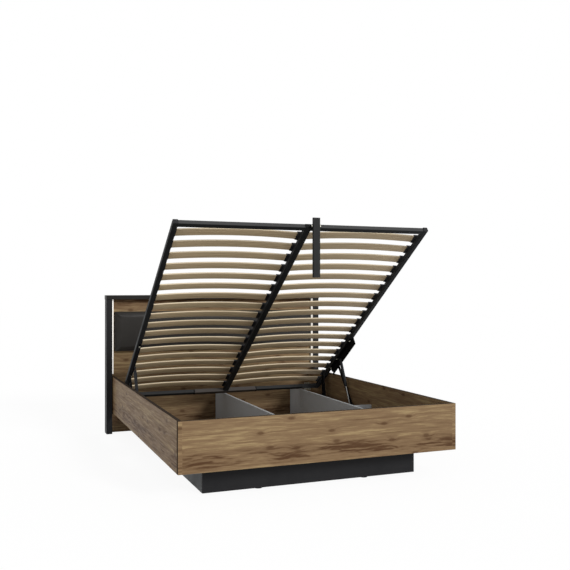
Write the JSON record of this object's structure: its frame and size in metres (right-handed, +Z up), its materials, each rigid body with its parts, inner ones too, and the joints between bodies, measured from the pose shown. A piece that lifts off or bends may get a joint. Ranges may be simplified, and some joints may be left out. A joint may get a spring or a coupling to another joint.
{
  "type": "storage bed",
  "caption": "Double bed with a lift-up slatted frame over a storage box, wood decor rails and a lit, padded headboard.",
  "frame": {"origin": "on the floor, under the middle of the bed's outer box", "axes": "+X to the bed's right-hand side seen from the foot, +Y from the footboard to the headboard, +Z up"},
  "size_m": [1.752, 2.14, 1.5054],
  "materials": {
    "walnut_decor": "satin walnut decor with horizontal grain",
    "dark_board": "matte dark board",
    "black_board": "matte black board",
    "grey_board": "matte graphite board",
    "floor_board": "raw hard board",
    "pine": "planed softwood",
    "dark_upholstery": "matte anthracite artificial leather",
    "light_channel": "anodised",
    "light_diffuser": "opal, lit from inside",
    "black_plastic": "moulded",
    "frame_steel": "anthracite powder coat",
    "sleeve_steel": "grey powder coat",
    "lift_steel": "black powder coat",
    "cylinder_paint": "semi-gloss black",
    "rod_chrome": "polished",
    "zinc_steel": "zinc plated",
    "beech": "layered beech"
  },
  "bodies": {
    "bed_base": {"footboard": "walnut_decor", "side_rail_left": "walnut_decor", "side_rail_right": "walnut_decor", "headboard_post_left": "black_board", "headboard_post_right": "black_board", "headboard_top": "dark_board", "headboard_panel": "walnut_decor", "headboard_lower_board": "walnut_decor", "headboard_battens": "dark_board", "headboard_pad": "dark_upholstery", "light_channel_left": "light_channel", "light_channel_right": "light_channel", "light_diffuser_left": "light_diffuser", "light_diffuser_right": "light_diffuser", "plinth_front": "black_board", "storage_wall_left": "grey_board", "storage_wall_right": "grey_board", "storage_divider": "grey_board", "floor_panel_left": "floor_board", "floor_panel_right": "floor_board", "floor_cleats": "pine", "glides": "black_plastic", "front_rib_left": "grey_board", "front_rib_right": "grey_board", "middle_rib_left": "grey_board", "middle_rib_right": "grey_board", "corner_brackets": "zinc_steel", "corner_screws": "zinc_steel", "lift_base_left": "lift_steel", "lift_base_right": "lift_steel", "lift_base_screws": "zinc_steel", "base_pivot_pins": "zinc_steel"},
    "front_arms": {"front_arm_left": "lift_steel", "front_arm_right": "lift_steel"},
    "lift_frame": {"side_tube_left": "frame_steel", "side_tube_right": "frame_steel", "head_tube": "frame_steel", "foot_tube": "frame_steel", "middle_tube": "frame_steel", "tube_end_caps": "black_plastic", "head_tube_sleeve": "sleeve_steel", "slats_left": "beech", "slats_right": "beech", "slat_holders_left": "black_plastic", "slat_holders_middle": "black_plastic", "slat_holders_right": "black_plastic", "lift_bracket_left": "lift_steel", "lift_bracket_right": "lift_steel", "lift_bracket_bolts": "zinc_steel", "frame_pivot_pins": "zinc_steel", "leg_bracket": "frame_steel", "leg_bolt": "zinc_steel"},
    "rear_links": {"rear_link_left": "lift_steel", "rear_link_right": "lift_steel"},
    "spring_rods": {"gas_rod_left": "rod_chrome", "gas_rod_right": "rod_chrome"},
    "spring_cylinders": {"gas_cylinder_left": "cylinder_paint", "gas_cylinder_right": "cylinder_paint"},
    "leg": {"support_leg": "frame_steel", "leg_caps": "black_plastic"}
  },
  "joints": [
    {"name": "lift", "type": "hinge", "parent": "bed_base", "child": "front_arms", "pos_m": [0, 0.18856, 0.205], "axis": [1, 0, 0], "range_deg": [-42.35, 0], "stiffness_Nm_per_rad": 110, "springref_deg": 166.16},
    {"name": "frame_tilt", "type": "hinge", "parent": "front_arms", "child": "lift_frame", "pos_m": [0, 0.43416, 0.50327], "axis": [1, 0, 0], "range_deg": [0, 77.75]},
    {"name": "rear_link_pivot", "type": "hinge", "parent": "bed_base", "child": "rear_links", "pos_m": [0, 0.61759, 0.205], "axis": [1, 0, 0], "range_deg": [-53.74, 0]},
    {"name": "spring_swing", "type": "hinge", "parent": "bed_base", "child": "spring_rods", "pos_m": [0, 0.18856, 0.205], "axis": [1, 0, 0], "range_deg": [-52.75, 0]},
    {"name": "spring_stroke", "type": "slide", "parent": "spring_rods", "child": "spring_cylinders", "axis": [0, 0.4419, 0.8971], "range_m": [-0.09448, 0]},
    {"name": "leg_pivot", "type": "hinge", "parent": "lift_frame", "child": "leg", "pos_m": [0, -0.84454, 1.45739], "axis": [1, 0, 0], "range_deg": [-35.4, 0]}
  ],
  "couplings": [
    {"joint": "frame_tilt", "follows": "lift", "ratio": -1.8359},
    {"joint": "rear_link_pivot", "follows": "lift", "ratio": 1.2691},
    {"joint": "spring_swing", "follows": "lift", "ratio": 1.2456},
    {"joint": "spring_stroke", "follows": "lift", "m_per_rad": 0.12783},
    {"joint": "leg_pivot", "follows": "lift", "ratio": 0.83594}
  ]
}
